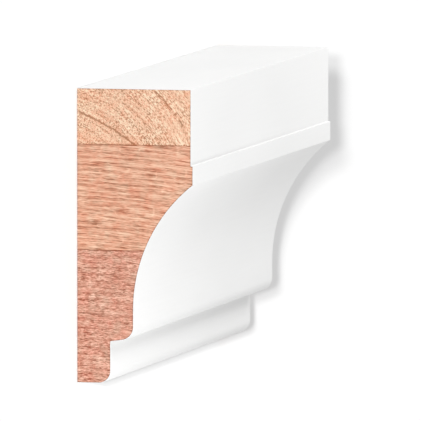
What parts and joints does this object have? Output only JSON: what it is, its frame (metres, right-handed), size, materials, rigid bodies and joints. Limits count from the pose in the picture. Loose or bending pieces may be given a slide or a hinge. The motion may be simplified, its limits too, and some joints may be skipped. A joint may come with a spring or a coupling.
{
  "type": "fascia board",
  "caption": "Short length of profiled fascia moulding glued up from wood lamellae, with a flat fascia, bead, deep cove, rounded nose and set-back foot, primed white with bare sawn ends.",
  "frame": {"origin": "middle of the flat back face, on which the board lies", "axes": "+X down the board from its top edge to its foot, +Y along the board, +Z out of the back face towards the moulded side"},
  "size_m": [0.145, 0.3, 0.0585],
  "materials": {
    "top_lamella_wood": "pale reddish hardwood, sawn square at the ends with curved growth rings, covered by the primer on the long faces",
    "middle_lamella_wood": "reddish hardwood with close, nearly level growth rings at the sawn ends, covered by the primer on the long faces",
    "bottom_lamella_wood": "darker, fleckier reddish hardwood at the sawn ends, covered by the primer on the long faces",
    "primer": "white sprayed primer, low sheen, on every long face"
  },
  "bodies": {
    "root": {"top_lamella": "top_lamella_wood", "middle_lamella": "middle_lamella_wood", "bottom_lamella": "bottom_lamella_wood"}
  },
  "joints": []
}
